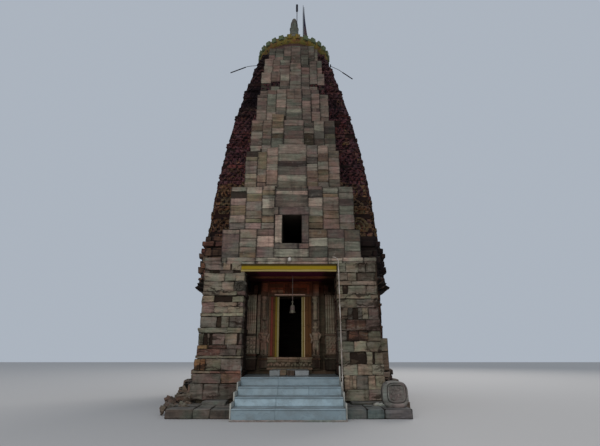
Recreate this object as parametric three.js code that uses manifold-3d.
// Stone temple with a curved tower: shrine room, open porch with a carved doorway, marble stair,
// and a tower whose front is rebuilt in plain squared blocks.
// Millimetres, +Z up. The origin is on the tower's axis at ground level, and the porch faces -Y.
import * as THREE from 'three';
import { mergeVertices } from 'three/addons/utils/BufferGeometryUtils.js';
import Module from 'manifold-3d';

const wasm = await Module();
wasm.setup();

// Driving dimensions
const GAP = 0.3;                 // joint between stones that meet on a sloping or cut face

const ROOM_HALF = 1175;          // half the clear width of porch, shrine room and lower tower chamber
const DOOR_PLANE = 1500;         // carved wall at the back of the porch, in front of the axis
const DOOR_WALL_BACK = 950;      // its inner face, towards the shrine room

const APRON_HALF = 2530;         // low kerbed apron that the piers stand on
const APRON_FRONT = 4050;
const APRON_TOP = 180;

const STAIR_HALF = 1135;
const STAIR_FRONT = 4390;
const TREAD = 430;
const RISER_TOPS = [230, 400, 570];
const PORCH_FLOOR_TOP = 740;

const PIER_OUT = 2150;           // outer face of the porch piers
const PIER_FRONT = 3060;
const PIER_BACK = 2200;
const PIER_TOP = 3535;
const LINTEL_BASE = 3220;
const LINTEL_DEPTH = 360;
const LINTEL_TOP = 3385;
const RECESS_HALF = 1340;        // the porch is wider behind the piers

const FLOOR_TOP = 840;           // shrine floor and top of the plinth
const PLINTH_COURSES = [         // corner half width and top of each stepped course
  { corner: 2800, top: 180 },
  { corner: 2700, top: 370 },
  { corner: 2580, top: 560 },
  { corner: 2400, top: FLOOR_TOP },
];
const PLINTH_BAY = 400;          // how far the middle bay of the plinth stands out past the corners

const EAVE_BASE = 3040;
const EAVE_NOSE = 3140;
const EAVE_TOP = 3240;
const EAVE_CORNER = 2450;
const EAVE_BAY = 2910;
const WALL_CORNER = 2200;
const WALL_BAY = 2600;
const CORNICE_BAY = 2760;

// Tower: the outline steps back from a middle bay to an inner bay and a corner, in these shares
const CORNER_SHARE = 0.84;
const INNER_BAY_SHARE = 0.92;
const MIDDLE_WIDTH_SHARE = 0.33;
const INNER_WIDTH_SHARE = 0.57;
const TOWER_LEVELS = [3535, 4340, 5560, 6730, 7830, 8900, 9900, 10670, 11400];
const TOWER_BASE = TOWER_LEVELS[1];
const TOWER_TOP = TOWER_LEVELS[TOWER_LEVELS.length - 1];
const TOWER_SHOULDER = 5000;     // the curve starts here, above the base mouldings
const STOREYS = 13;              // each storey has a band round its foot, then a plain wall
const BAND = { proud: 25, slope: 10, height: 120 };
const CHAMBER_TOP_HALF = 550;    // half width of the hollow at the top of the tower

// Rebuilt front: half width of each tier and the edges of its seven columns of blocks
const FRONT_TIERS = [
  { edges: [435, 905, 1340, 1765] },
  { edges: [420, 795, 1210, 1620] },
  { edges: [360, 690, 965, 1280] },
  { edges: [320, 650, 905, 1180] },
  { edges: [275, 540, 820, 1070] },
  { edges: [200, 470, 740, 1000] },
  { edges: [180, 430, 690, 940] },
  { edges: [170, 390, 610, 820] },
];
const COLUMN_RELIEF = 30;        // each column stands this much behind its inner neighbour
const FRONT_PROUD = { foot: 370, top: 70 };   // how far the middle column stands past the tower
const TIER_LEDGE = 40;

const WINDOW = { left: -225, right: 270, bottom: 3945, top: 4700 };
const WINDOW_STONE = 190;        // width of the stones round the window
const WINDOW_FRAME_FRONT = 3085;
const WINDOW_FRAME_DEPTH = 350;

const DOOR_X = -45;              // the doorway sits a little left of the tower's axis
const DOOR_HALF = 335;
const DOOR_SILL = 1160;
const DOOR_HEAD = 2790;
const SURROUND_BACK = 1380;      // plane that the carved pieces of the doorway stand on
const JAMB_WIDTH = 75;
const BAND_WIDTH = 180;
const FIGURE_WIDTH = 225;
const JAMB_FRONT = 1520;
const FIGURE_FRONT = 1560;
const PILASTER_FRONT = 1600;
const THRESHOLD_FRONT = 1640;
const DOOR_STEP = { left: -515, right: 440, front: 2500, top: 870 };

const AMALAKA = { radius: 1380, base: 11680, top: 12060, ribs: 28, neck: 1100 };
const FINIAL_TOP = 14020;
const POLE_TOP = 14720;

const BELL = { x: 40, y: -2660, pivot: 3170, mouth: 2240, crown: 2440, ball: 2510 };

// Materials, one finish for each kind of surface
const finish = (color, roughness = 0.9, metalness = 0) =>
  new THREE.MeshStandardMaterial({ color, roughness, metalness });
const stone = {
  grey: finish(0x8d877e),
  brown: finish(0x7a6455),
  maroon: finish(0x5a3a36),
  ashlar: finish(0x99908a),
  carved: finish(0x6b4a3a),
  marble: finish(0x9db0b8, 0.35),
  olive: finish(0x6a6a4c),
};
const paint = { yellow: finish(0xc9b93a, 0.6), crown: finish(0x8f8632, 0.8) };
const metal = {
  steel: finish(0x55585c, 0.5, 0.8),
  bell: finish(0xb9b2a0, 0.4, 0.8),
};
const plastic = finish(0xd8d6d0, 0.5);
const cloth = finish(0x6d2b33, 0.9);

const temple = new THREE.Group();

function piece(name, geometry, material) {
  const mesh = new THREE.Mesh(geometry, material);
  mesh.name = name;
  temple.add(mesh);
  return mesh;
}

// Closed solid between plan outlines: sections is a list of { z, points } with the same number of
// points in each, running anticlockwise seen from above.
function loft(sections) {
  const count = sections[0].points.length;
  const positions = [];
  for (const { z, points } of sections) {
    for (const [x, y] of points) positions.push(x, y, z);
  }
  const index = [];
  for (let level = 0; level < sections.length - 1; level += 1) {
    const low = level * count;
    const high = low + count;
    for (let i = 0; i < count; i += 1) {
      const j = (i + 1) % count;
      index.push(low + i, low + j, high + j, low + i, high + j, high + i);
    }
  }
  const capPoints = (section) => section.points.map(([x, y]) => new THREE.Vector2(x, y));
  const topStart = (sections.length - 1) * count;
  for (const [a, b, c] of THREE.ShapeUtils.triangulateShape(capPoints(sections[0]), [])) {
    index.push(c, b, a);
  }
  for (const [a, b, c] of THREE.ShapeUtils.triangulateShape(capPoints(sections.at(-1)), [])) {
    index.push(topStart + a, topStart + b, topStart + c);
  }
  const geometry = new THREE.BufferGeometry();
  geometry.setAttribute('position', new THREE.Float32BufferAttribute(positions, 3));
  geometry.setIndex(index);
  return geometry;
}

const prism = (points, bottom, top) => loft([{ z: bottom, points }, { z: top, points }]);

const rectangle = (x0, x1, y0, y1) => [[x0, y0], [x1, y0], [x1, y1], [x0, y1]];

const block = (x0, x1, y0, y1, z0, z1) => prism(rectangle(x0, x1, y0, y1), z0, z1);

const mirrored = (points) => points.map(([x, y]) => [-x, y]).reverse();

// Body of revolution about +Z from a profile of [radius, z] pairs listed from bottom to top
function turned(profile, segments = 24) {
  const points = profile.map(([radius, z]) => new THREE.Vector2(radius, z));
  return new THREE.LatheGeometry(points, segments).rotateX(Math.PI / 2);
}

const TUBE_SIDES = 10;

function tube(path, radius, steps) {
  const circle = new THREE.Shape().absarc(0, 0, radius, 0, Math.PI * 2);
  const curve = new THREE.CurvePath();
  for (let i = 0; i < path.length - 1; i += 1) {
    curve.add(new THREE.LineCurve3(path[i], path[i + 1]));
  }
  return new THREE.ExtrudeGeometry(circle, {
    steps, curveSegments: TUBE_SIDES / 2, bevelEnabled: false, extrudePath: curve,
  });
}

// Joining and cutting
function solid(geometry) {
  const bare = geometry.clone();
  bare.deleteAttribute('normal');
  bare.deleteAttribute('uv');
  const merged = mergeVertices(bare, 1e-3);
  return new wasm.Manifold(new wasm.Mesh({
    numProp: 3,
    vertProperties: new Float32Array(merged.attributes.position.array),
    triVerts: new Uint32Array(merged.index.array),
  }));
}

function geometryOf(manifold) {
  const { vertProperties, triVerts } = manifold.getMesh();
  const geometry = new THREE.BufferGeometry();
  geometry.setAttribute('position', new THREE.Float32BufferAttribute(vertProperties, 3));
  geometry.setIndex([...triVerts]);
  return geometry;
}

const joined = (...geometries) =>
  geometryOf(geometries.map(solid).reduce((sum, next) => sum.add(next)));

const cut = (geometry, ...tools) =>
  geometryOf(tools.map(solid).reduce((rest, tool) => rest.subtract(tool), solid(geometry)));

// Outline of the tower and of what carries it
const TOWER_SPAN = TOWER_TOP - TOWER_SHOULDER;

function towerCurve(z) {
  if (z <= TOWER_SHOULDER) return 2680 - 90 * (z - TOWER_BASE) / (TOWER_SHOULDER - TOWER_BASE);
  const t = (z - TOWER_SHOULDER) / TOWER_SPAN;
  return 2590 - 450 * t - 860 * t * t;
}

// Half width of the middle bay: the cornice's below, then straight from one level to the next
function towerHalf(z) {
  if (z < TOWER_BASE) return CORNICE_BAY;
  const above = TOWER_LEVELS.findIndex((level) => level > z);
  const next = above < 0 ? TOWER_LEVELS.length - 1 : above;
  const low = TOWER_LEVELS[next - 1];
  const share = (z - low) / (TOWER_LEVELS[next] - low);
  return towerCurve(low) + (towerCurve(TOWER_LEVELS[next]) - towerCurve(low)) * share;
}

function chamberHalf(z) {
  const t = Math.max(0, (z - TOWER_BASE) / (TOWER_TOP - TOWER_BASE));
  return ROOM_HALF + (CHAMBER_TOP_HALF - ROOM_HALF) * t;
}

// Rebuilt front: its middle column stands well out at the foot and nearly dies into the top
function frontPlane(z) {
  if (z <= TOWER_BASE) return PIER_FRONT;
  const t = (z - TOWER_BASE) / (TOWER_TOP - TOWER_BASE);
  return towerHalf(z) + FRONT_PROUD.top + (FRONT_PROUD.foot - FRONT_PROUD.top) * (1 - t ** 3);
}

// Right side wall in plan, from the front of the inner face round the outside to its back.
// front lists the points from the inner face to the front corner.
function sideOutline({ bay, inner, corner, half, front }) {
  const middle = bay * MIDDLE_WIDTH_SHARE;
  const wing = bay * INNER_WIDTH_SHARE;
  return [
    ...front,
    [corner, -corner], [corner, -wing], [inner, -wing], [inner, -middle], [bay, -middle],
    [bay, middle], [inner, middle], [inner, wing], [corner, wing], [corner, corner],
    [wing, corner], [wing, inner], [half, inner],
  ];
}

// Back wall in plan, between the side walls, with its own middle bay
function backOutline({ bay, inner, half }) {
  const middle = bay * MIDDLE_WIDTH_SHARE;
  const edge = half - GAP;
  return [
    [-edge, half], [edge, half], [edge, inner], [middle, inner], [middle, bay],
    [-middle, bay], [-middle, inner], [-edge, inner],
  ];
}

const plinthShape = ({ corner }) => ({
  bay: corner + PLINTH_BAY, inner: corner + PLINTH_BAY / 2, corner, half: ROOM_HALF,
});

function towerShape(z, proud = 0) {
  const bay = towerHalf(z);
  const wing = (bay + proud) * INNER_WIDTH_SHARE;
  const inner = bay * INNER_BAY_SHARE;
  const corner = bay * CORNER_SHARE + proud;
  const half = chamberHalf(z);
  const front = [[half, -inner], [wing, -inner], [wing, -corner]];
  return { bay: bay + proud, inner: inner + proud, corner, half, front };
}

// Outline whose front leaves room for the porch pier
function behindPier(shape) {
  const front = [[shape.half, -PIER_BACK], [PIER_OUT, -PIER_BACK], [PIER_OUT, -shape.corner]];
  return { ...shape, front };
}

const scaledShape = (bay, corner) => ({ bay, inner: (bay + corner) / 2, corner, half: ROOM_HALF });

const JANGHA = scaledShape(WALL_BAY, WALL_CORNER);
const CORNICE = scaledShape(CORNICE_BAY, CORNICE_BAY * CORNER_SHARE);
const EAVE = scaledShape(EAVE_BAY, EAVE_CORNER);

function sidePair(name, material, build) {
  piece(`${name}_left`, build(mirrored), material);
  piece(`${name}_right`, build((points) => points), material);
}

// Apron: low kerbed platform on both sides of the stair, under the piers
sidePair('apron', stone.grey, (side) => prism(side([
  [STAIR_HALF, -APRON_FRONT], [APRON_HALF, -APRON_FRONT], [APRON_HALF, -PLINTH_COURSES[0].corner],
  [PIER_OUT, -PLINTH_COURSES[0].corner], [PIER_OUT, -PIER_BACK], [ROOM_HALF, -PIER_BACK],
  [ROOM_HALF, -PIER_FRONT], [STAIR_HALF, -PIER_FRONT],
]), 0, APRON_TOP));

// Plinth: stepped courses round three sides
const courseBottom = (i) => (i === 0 ? 0 : PLINTH_COURSES[i - 1].top);
sidePair('plinth', stone.brown, (side) => joined(...PLINTH_COURSES.map((course, i) =>
  prism(side(sideOutline(behindPier(plinthShape(course)))), courseBottom(i), course.top))));
piece('plinth_back', joined(...PLINTH_COURSES.map((course, i) =>
  prism(backOutline(plinthShape(course)), courseBottom(i), course.top))), stone.brown);

// Floors and stair
piece('shrine_floor', block(-ROOM_HALF + GAP, ROOM_HALF - GAP, -DOOR_PLANE, ROOM_HALF - GAP, 0, FLOOR_TOP),
  stone.grey);
const STAIR_BACK = STAIR_FRONT - RISER_TOPS.length * TREAD;
piece('porch_floor', joined(
  block(-STAIR_HALF, STAIR_HALF, -STAIR_BACK, -PIER_FRONT, 0, PORCH_FLOOR_TOP),
  block(-ROOM_HALF + GAP, ROOM_HALF - GAP, -PIER_FRONT, -DOOR_PLANE, 0, PORCH_FLOOR_TOP),
), stone.marble);
RISER_TOPS.forEach((top, i) => {
  const bottom = i === 0 ? 0 : RISER_TOPS[i - 1];
  const front = STAIR_FRONT - i * TREAD;
  piece(`step_${i + 1}`, block(-STAIR_HALF, STAIR_HALF, -front, -STAIR_BACK, bottom, top), stone.marble);
});

// Porch piers, lintel and ceiling
sidePair('pier', stone.brown, (side) => prism(
  side(rectangle(ROOM_HALF, PIER_OUT, -PIER_FRONT, -PIER_BACK)), APRON_TOP, PIER_TOP));
piece('porch_lintel', block(-ROOM_HALF + GAP, ROOM_HALF - GAP, -PIER_FRONT,
  -PIER_FRONT + LINTEL_DEPTH, LINTEL_BASE, LINTEL_TOP), paint.yellow);
piece('cornice_slab', block(-ROOM_HALF + GAP, ROOM_HALF - GAP, -PIER_FRONT,
  -PIER_FRONT + LINTEL_DEPTH, LINTEL_TOP, PIER_TOP), stone.ashlar);

// Ceiling slab over porch and shrine room, with the clevis that carries the bell
const CLEVIS = { half: 18, cheek: 10, width: 26, pin: 6 };
const pinAlongX = (x, y, z, radius, half) =>
  new THREE.CylinderGeometry(radius, radius, half * 2, 16).rotateZ(Math.PI / 2).translate(x, y, z);
const bellCheek = (x) => block(x - CLEVIS.cheek / 2, x + CLEVIS.cheek / 2,
  BELL.y - CLEVIS.width / 2, BELL.y + CLEVIS.width / 2, BELL.pivot - CLEVIS.width / 2, LINTEL_BASE + 1);
piece('ceiling_slab', joined(
  block(-ROOM_HALF + GAP, ROOM_HALF - GAP, -PIER_FRONT + LINTEL_DEPTH, ROOM_HALF - GAP,
    LINTEL_BASE, PIER_TOP),
  bellCheek(BELL.x - CLEVIS.half), bellCheek(BELL.x + CLEVIS.half),
  pinAlongX(BELL.x, BELL.y, BELL.pivot, CLEVIS.pin, CLEVIS.half + CLEVIS.cheek / 2),
), stone.carved);

// Shrine walls: wall, pointed eave and cornice band in one mass of masonry on each side
const eaveLevels = (outline) => [
  { z: EAVE_BASE, points: outline(CORNICE) },
  { z: EAVE_NOSE, points: outline(EAVE) },
  { z: EAVE_TOP, points: outline(CORNICE) },
];
sidePair('shrine_wall', stone.maroon, (side) => {
  const notched = (shape) => side(sideOutline(behindPier(shape)));
  const plain = side(sideOutline({ ...JANGHA, front: [[ROOM_HALF, -WALL_CORNER]] }));
  const masonry = joined(
    prism(plain, FLOOR_TOP, EAVE_BASE),
    loft(eaveLevels(notched)),
    prism(notched(CORNICE), EAVE_TOP, PIER_TOP),
    prism(side(sideOutline(towerShape(PIER_TOP))), PIER_TOP, TOWER_BASE),
  );
  const recess = side(rectangle(ROOM_HALF - GAP, RECESS_HALF, -PIER_BACK - GAP, -SURROUND_BACK));
  return cut(masonry, prism(recess, FLOOR_TOP - GAP, LINTEL_BASE));
});
piece('shrine_wall_back', joined(
  prism(backOutline(JANGHA), FLOOR_TOP, EAVE_BASE),
  loft(eaveLevels(backOutline)),
  prism(backOutline(CORNICE), EAVE_TOP, TOWER_BASE),
), stone.maroon);

// Wall with the doorway, at the back of the porch
const DOOR_LEFT = DOOR_X - DOOR_HALF;
const DOOR_RIGHT = DOOR_X + DOOR_HALF;
piece('door_wall', cut(
  block(-ROOM_HALF + GAP, ROOM_HALF - GAP, -SURROUND_BACK, -DOOR_WALL_BACK, FLOOR_TOP, LINTEL_BASE),
  block(DOOR_LEFT, DOOR_RIGHT, -DOOR_PLANE, 0, FLOOR_TOP - GAP, DOOR_HEAD),
), stone.carved);
const THRESHOLD_HALF = DOOR_HALF + JAMB_WIDTH + BAND_WIDTH - GAP;
piece('threshold', joined(
  block(DOOR_X - THRESHOLD_HALF, DOOR_X + THRESHOLD_HALF, -THRESHOLD_FRONT, -DOOR_PLANE - GAP,
    PORCH_FLOOR_TOP, DOOR_SILL),
  block(DOOR_X - THRESHOLD_HALF, DOOR_X + THRESHOLD_HALF, -DOOR_PLANE - GAP, -SURROUND_BACK - GAP,
    FLOOR_TOP, DOOR_SILL),
  block(DOOR_LEFT + GAP, DOOR_RIGHT - GAP, -SURROUND_BACK - GAP, -DOOR_WALL_BACK, FLOOR_TOP, DOOR_SILL),
), stone.carved);
piece('door_step', block(DOOR_STEP.left, DOOR_STEP.right, -DOOR_STEP.front, -THRESHOLD_FRONT,
  PORCH_FLOOR_TOP, DOOR_STEP.top), stone.olive);

// Carved pieces of the doorway, from the opening outwards
const bandEdge = DOOR_HALF + JAMB_WIDTH + BAND_WIDTH;
const figureEdge = bandEdge + FIGURE_WIDTH;
function surround(name, inner, outer, front, bottom, top, material) {
  const back = -SURROUND_BACK - GAP;
  const left = [DOOR_X - outer, DOOR_X - inner];
  const right = [DOOR_X + inner, DOOR_X + outer];
  piece(`${name}_left`, block(...left, -front, back, bottom, top), material);
  piece(`${name}_right`, block(...right, -front, back, bottom, top), material);
}
surround('door_jamb', DOOR_HALF, bandEdge - GAP, JAMB_FRONT, DOOR_SILL, DOOR_HEAD, paint.yellow);
surround('figure_pilaster', bandEdge, figureEdge, FIGURE_FRONT, FLOOR_TOP, DOOR_HEAD, stone.carved);
const PILASTER_INNER = figureEdge + 40;
const PILASTER_TOP = LINTEL_BASE - 120;
piece('ribbed_pilaster_left', block(-RECESS_HALF + GAP, DOOR_X - PILASTER_INNER, -PILASTER_FRONT,
  -SURROUND_BACK - GAP, FLOOR_TOP, PILASTER_TOP), stone.carved);
piece('ribbed_pilaster_right', block(DOOR_X + PILASTER_INNER, RECESS_HALF - GAP, -PILASTER_FRONT,
  -SURROUND_BACK - GAP, FLOOR_TOP, PILASTER_TOP), stone.carved);
piece('door_head', block(DOOR_X - figureEdge, DOOR_X + figureEdge, -PILASTER_FRONT,
  -SURROUND_BACK - GAP, DOOR_HEAD, LINTEL_BASE), stone.carved);

// Tower: left, right and back walls rise from the cornice to the neck
function towerSections(outline) {
  const rise = (TOWER_TOP - TOWER_BASE) / STOREYS;
  const section = (z, proud) => ({ z, points: outline(towerShape(z, proud)) });
  const storeys = Array.from({ length: STOREYS }, (_, i) => TOWER_BASE + i * rise).flatMap((z) => [
    section(z, 0), section(z + BAND.slope, BAND.proud), section(z + BAND.height, BAND.proud),
    section(z + BAND.height + BAND.slope, 0),
  ]);
  return [...storeys, section(TOWER_TOP, 0)];
}
sidePair('tower', stone.maroon, (side) => loft(towerSections((shape) => side(sideOutline(shape)))));
piece('tower_back', loft(towerSections(backOutline)), stone.maroon);

// Rebuilt front: seven columns of blocks in plan, and the wall behind them down to the chamber
function frontOutline(edges, { inner, half }, plane) {
  const steps = [];
  edges.forEach((edge, i) => {
    const y = -(plane - i * COLUMN_RELIEF);
    const nextY = -(plane - (i + 1) * COLUMN_RELIEF);
    steps.push([edge, y]);
    if (i < edges.length - 1) steps.push([edge, nextY]);
  });
  const width = edges.at(-1);
  const back = -inner - GAP;
  const core = half - GAP;
  return [
    ...steps.map(([x, y]) => [-x, y]).reverse(), ...steps,
    [width, back], [core, back], [core, -half], [-core, -half], [-core, back], [-width, back],
  ];
}

function frontTier(i) {
  const bottom = TOWER_LEVELS[i];
  const top = TOWER_LEVELS[i + 1];
  const { edges } = FRONT_TIERS[i];
  const foot = towerShape(bottom);
  const head = i === 0 ? foot : towerShape(top);
  return loft([
    { z: bottom, points: frontOutline(edges, foot, frontPlane(bottom)) },
    { z: top, points: frontOutline(edges, head, frontPlane(top) + (i === 0 ? 0 : TIER_LEDGE)) },
  ]);
}

const windowHole = (margin, front, back) => block(
  WINDOW.left - margin, WINDOW.right + margin, -front, -back, WINDOW.bottom - margin, WINDOW.top + margin);
const frameBack = WINDOW_FRAME_FRONT - WINDOW_FRAME_DEPTH;
piece('front_lower', cut(
  joined(frontTier(0), frontTier(1)),
  windowHole(WINDOW_STONE + GAP, WINDOW_FRAME_FRONT + 100, frameBack - GAP),
  windowHole(0, WINDOW_FRAME_FRONT, 0),
), stone.ashlar);
piece('window_frame', cut(
  windowHole(WINDOW_STONE, WINDOW_FRAME_FRONT, frameBack),
  windowHole(0, WINDOW_FRAME_FRONT + 100, 0),
), stone.ashlar);
piece('front_middle', joined(frontTier(2), frontTier(3), frontTier(4)), stone.ashlar);
piece('front_upper', joined(frontTier(5), frontTier(6), frontTier(7)), stone.ashlar);

// Crown: ribbed amalaka on its neck, then the stepped finial
const RIB_STEP = Math.PI * 2 / AMALAKA.ribs;
const RIB_FLAT = 0.28;           // half the flat face of a rib, as a share of its step
function ribbedOutline(radius) {
  const points = [];
  const rib = [[-0.44, 0.93], [-RIB_FLAT, 1], [RIB_FLAT, 1], [0.44, 0.93]];
  for (let i = 0; i < AMALAKA.ribs; i += 1) {
    for (const [share, size] of rib) {
      const angle = (i + share) * RIB_STEP;
      points.push([radius * size * Math.cos(angle), radius * size * Math.sin(angle)]);
    }
  }
  return points;
}
const amalakaHeight = AMALAKA.top - AMALAKA.base;
piece('amalaka', joined(
  turned([[0, TOWER_TOP], [AMALAKA.neck, TOWER_TOP], [AMALAKA.neck, AMALAKA.base + 20],
    [0, AMALAKA.base + 20]], 48),
  loft([[0, 0.95], [0.25, 1], [0.75, 1], [1, 0.94]].map(([share, size]) =>
    ({ z: AMALAKA.base + share * amalakaHeight, points: ribbedOutline(AMALAKA.radius * size) }))),
), paint.crown);
const RING_TOP = 13510;
piece('kalasha', turned([
  [0, AMALAKA.top], [850, AMALAKA.top], [850, 12190], [820, 12220], [620, 12220], [620, 12300],
  [590, 12330], [200, 12330], [280, 12450], [310, 12600], [260, 12780], [130, 12880], [110, 12950],
  [165, 13060], [165, 13360], [150, 13400], [170, 13440], [170, RING_TOP], [135, RING_TOP],
  [140, 13700], [125, 13790], [90, 13860], [80, 13960], [0, FINIAL_TOP],
], 28), stone.olive);

// Rod, pole and flag on the crown
const rodX = 110;
const rodY = -111;
piece('lightning_rod', turned([
  [0, RING_TOP], [14, RING_TOP], [14, 14240], [42, 14290], [42, 14600], [12, 14640], [0, 14640],
], 12).translate(rodX, rodY, 0), metal.steel);
const POLE = { x: 358, y: 0, radius: 16, foot: 12330 };
piece('flag_pole', turned([
  [0, POLE.foot], [POLE.radius, POLE.foot], [POLE.radius, 14200], [8, POLE_TOP - 30], [0, POLE_TOP],
], 12).translate(POLE.x, POLE.y, 0), metal.steel);
const flagEdge = POLE.x + POLE.radius + GAP;
piece('flag', loft([
  { z: 13060, points: rectangle(flagEdge, flagEdge + 140, -40, 40) },
  { z: 13700, points: rectangle(flagEdge, flagEdge + 64, -25, 25) },
  { z: 14400, points: rectangle(flagEdge, flagEdge + 24, -8, 8) },
]), cloth);

// Lamp arms: a bracket on the amalaka's rim, a thin arm and a thicker lamp at its end
function lampArm(name, sign, rootZ, path, lampFrom) {
  const rootX = AMALAKA.radius * Math.cos(RIB_FLAT * RIB_STEP) + GAP;
  const at = ([x, z]) => new THREE.Vector3(sign * x, 0, z);
  const arm = tube([[rootX + 10, rootZ], ...path].map(at), 10, 8);
  const lamp = tube([lampFrom, path.at(-1)].map(at), 20, 1);
  const bracketX = [sign * rootX, sign * (rootX + 40)].sort((p, q) => p - q);
  const bracket = block(...bracketX, -40, 40, rootZ - 45, rootZ + 45);
  piece(name, joined(bracket, arm, lamp), metal.steel);
}
lampArm('lamp_arm_left', -1, 11790, [[1750, 11760], [2420, 11460]], [1850, 11715]);
lampArm('lamp_arm_right', 1, 11770, [[1700, 11600], [2220, 11180]], [1850, 11479]);

// Conduit up the front of the right pier
const CONDUIT = { x: 1225, radius: 14, bend: 3500, end: 1080 };
const conduitAt = (x, z) => new THREE.Vector3(x, -PIER_FRONT - CONDUIT.radius - GAP, z);
piece('conduit', tube([
  conduitAt(CONDUIT.x, APRON_TOP), conduitAt(CONDUIT.x, CONDUIT.bend),
  conduitAt(CONDUIT.x - 25, CONDUIT.bend + 50), conduitAt(CONDUIT.end, CONDUIT.bend + 75),
], CONDUIT.radius, 16), plastic);

// Bell on its rod, turning on the ceiling's pin, and the clapper on a pin inside the crown
const CLAPPER_PIVOT = BELL.crown - 45;
const eye = (radius, half, z, hole) => cut(
  new THREE.CylinderGeometry(radius, radius, half * 2, 20).rotateZ(Math.PI / 2).translate(0, 0, z),
  new THREE.CylinderGeometry(hole, hole, half * 4, 16).rotateZ(Math.PI / 2).translate(0, 0, z));
const EYE = { radius: 15, half: 6, clearance: 0.6 };
const bellBody = turned([
  [0, BELL.crown - 22], [36, BELL.crown - 30], [47, BELL.crown - 60], [52, BELL.mouth + 60],
  [67, BELL.mouth], [76, BELL.mouth], [62, BELL.mouth + 60], [57, BELL.crown - 50],
  [44, BELL.crown - 14], [12, BELL.crown], [12, BELL.ball - 21], [26, BELL.ball - 9],
  [26, BELL.ball + 9], [12, BELL.ball + 21], [9, BELL.ball + 29], [9, BELL.pivot - 13],
  [0, BELL.pivot - 13],
], 28);
piece('bell', joined(
  bellBody,
  eye(EYE.radius, EYE.half, BELL.pivot, CLEVIS.pin + EYE.clearance),
  pinAlongX(0, 0, CLAPPER_PIVOT, 4, 50),
).translate(BELL.x, BELL.y, 0), metal.bell);
piece('clapper', joined(
  eye(10, 5, CLAPPER_PIVOT, 4 + EYE.clearance),
  turned([[0, BELL.mouth - 15], [12, BELL.mouth - 9], [15, BELL.mouth + 7], [12, BELL.mouth + 23],
    [4, BELL.mouth + 31], [4, CLAPPER_PIVOT - 8], [0, CLAPPER_PIVOT - 8]], 16),
).translate(BELL.x, BELL.y, 0), metal.steel);

// Old stones kept beside the porch: a carved round fragment on the apron and a corner stub
const FRAGMENT = { x: 2250, radius: 275, front: 3840, thick: 210 };
const fragmentOutline = new THREE.Shape();
fragmentOutline.moveTo(-180, 0).lineTo(180, 0)
  .absarc(0, FRAGMENT.radius, FRAGMENT.radius, -0.857, Math.PI + 0.857, false);
piece('carved_stone', new THREE.ExtrudeGeometry(fragmentOutline,
  { depth: FRAGMENT.thick, bevelEnabled: false, curveSegments: 24 })
  .rotateX(Math.PI / 2).translate(FRAGMENT.x, -FRAGMENT.front + FRAGMENT.thick, APRON_TOP), stone.grey);
const STUB = { right: 2450, front: 2390, top: 1630 };
piece('corner_stub', block(PIER_OUT + GAP, STUB.right, -STUB.front, -WALL_CORNER - GAP, FLOOR_TOP, STUB.top),
  stone.brown);

export default temple;
